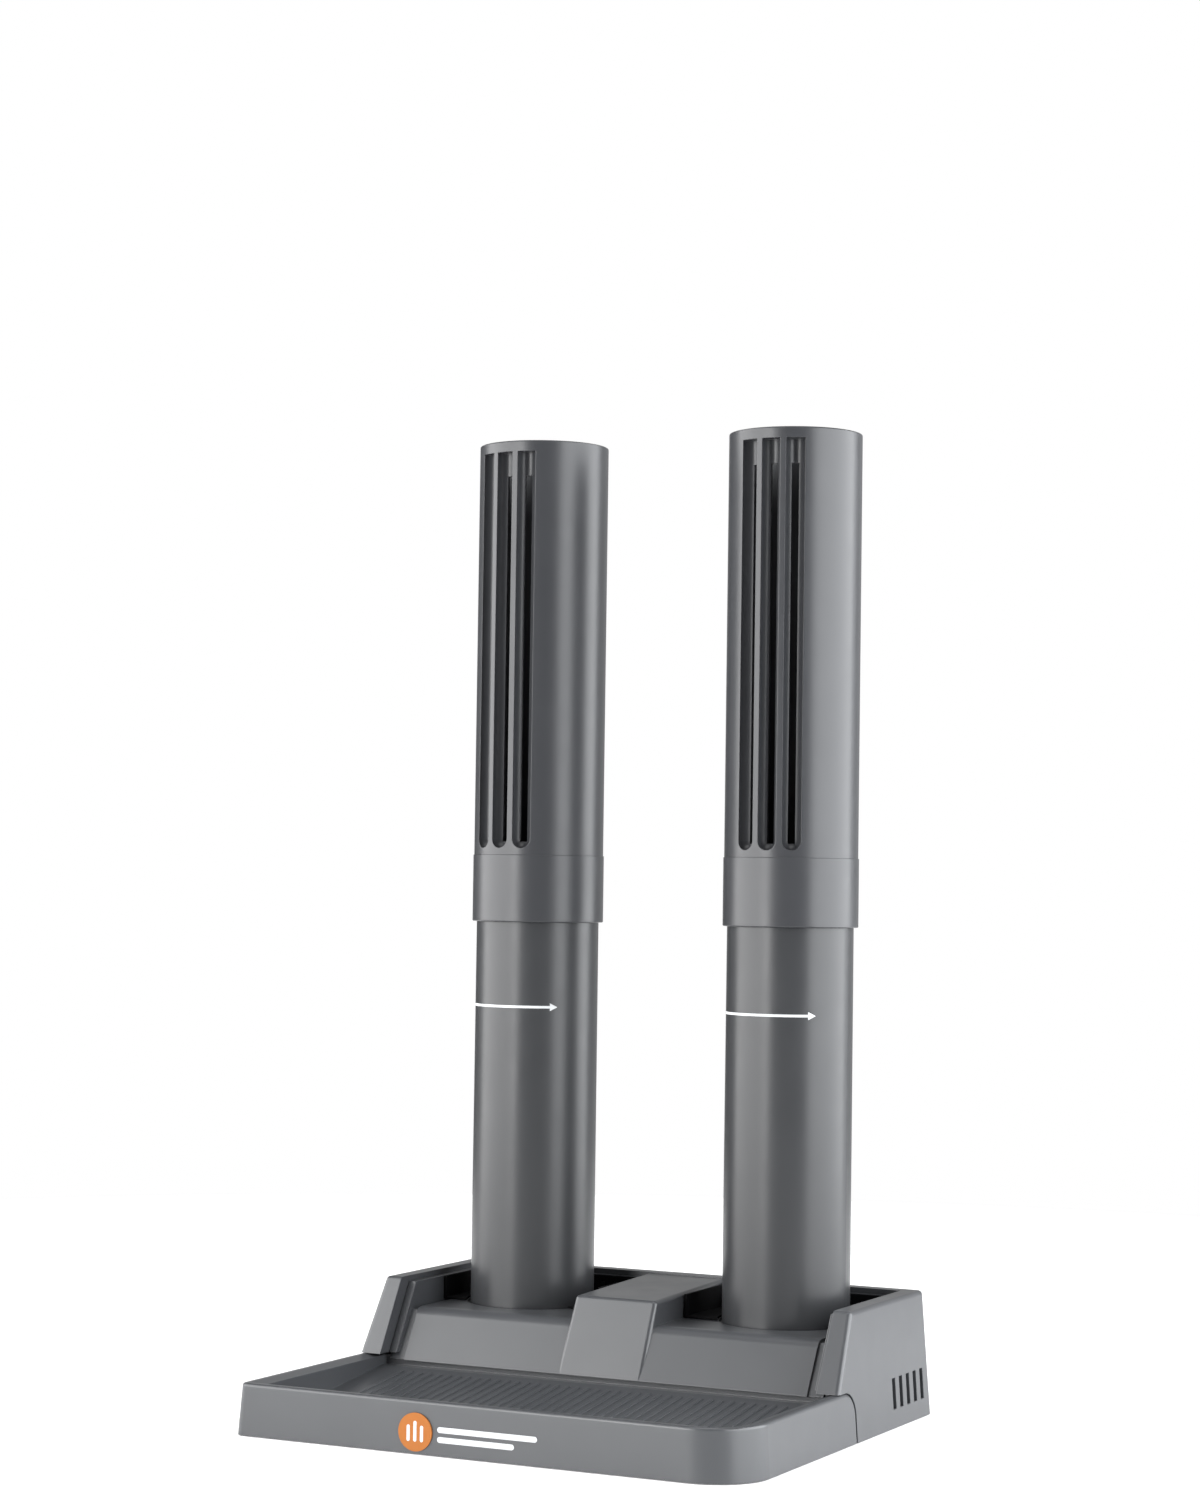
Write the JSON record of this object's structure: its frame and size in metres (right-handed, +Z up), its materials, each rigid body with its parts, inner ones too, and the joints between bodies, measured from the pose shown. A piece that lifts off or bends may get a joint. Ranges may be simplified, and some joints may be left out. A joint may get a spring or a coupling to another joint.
{
  "type": "boot dryer",
  "caption": "Two-post convection boot dryer: low base with ribbed drip tray, air ports and tall tubes with fluted extension sleeves.",
  "frame": {"origin": "middle of the footprint on the table", "axes": "+X right seen from the front, +Y towards the back, +Z up along the tubes"},
  "size_m": [0.2694, 0.2382, 0.5],
  "materials": {
    "tray_plastic": "fine-textured injection moulding, mid grey",
    "housing_plastic": "fine-textured injection moulding, mid grey",
    "deck_plastic": "fine-textured injection moulding, mid grey",
    "tube_plastic": "smooth satin moulding, grey",
    "sleeve_plastic": "smooth satin moulding, grey",
    "black_plastic": "black heat-resistant moulding",
    "plate_plastic": "dark grey moulding",
    "foot_rubber": "soft black rubber",
    "zinc_steel": "zinc-plated steel",
    "reflector": "bright pressed sheet",
    "fin_aluminium": "raw rolled fins",
    "ceramic": "steatite heater former",
    "wire_insulation": "silicone-insulated lead",
    "badge": "printed orange disc",
    "terminal": "nylon terminal block"
  },
  "bodies": {
    "base": {"base_feet": "foot_rubber", "base_plate": "plate_plastic", "base_screws": "zinc_steel", "cup_screws": "zinc_steel", "heater_core_left": "ceramic", "heater_core_right": "ceramic", "heater_cup_left": "reflector", "heater_cup_right": "reflector", "heater_fins_left": "fin_aluminium", "heater_fins_right": "fin_aluminium", "inlet_bushing": "black_plastic", "lead_left": "wire_insulation", "lead_right": "wire_insulation", "port_deck": "deck_plastic", "port_grille_left": "black_plastic", "port_grille_right": "black_plastic", "port_liner_left": "black_plastic", "port_liner_right": "black_plastic", "rear_housing": "housing_plastic", "terminal_block": "terminal", "thermal_cutout_left": "zinc_steel", "thermal_cutout_right": "zinc_steel"},
    "tray": {"drip_tray": "tray_plastic", "tray_feet": "foot_rubber", "front_badge": "badge"},
    "tube_left": {"lower_tube_left": "tube_plastic"},
    "tube_right": {"lower_tube_right": "tube_plastic"},
    "sleeve_left": {"extension_tube_left": "sleeve_plastic"},
    "sleeve_right": {"extension_tube_right": "sleeve_plastic"}
  },
  "joints": [
    {"name": "tray_pull", "type": "slide", "parent": "base", "child": "tray", "axis": [0, -1, 0], "range_m": [0, 0.14]},
    {"name": "tube_left_lift", "type": "slide", "parent": "base", "child": "tube_left", "axis": [0, 0, 1], "range_m": [0, 0.06]},
    {"name": "tube_right_lift", "type": "slide", "parent": "base", "child": "tube_right", "axis": [0, 0, 1], "range_m": [0, 0.06]},
    {"name": "sleeve_left_lift", "type": "slide", "parent": "tube_left", "child": "sleeve_left", "axis": [0, 0, 1], "range_m": [0, 0.08]},
    {"name": "sleeve_right_lift", "type": "slide", "parent": "tube_right", "child": "sleeve_right", "axis": [0, 0, 1], "range_m": [0, 0.08]}
  ]
}
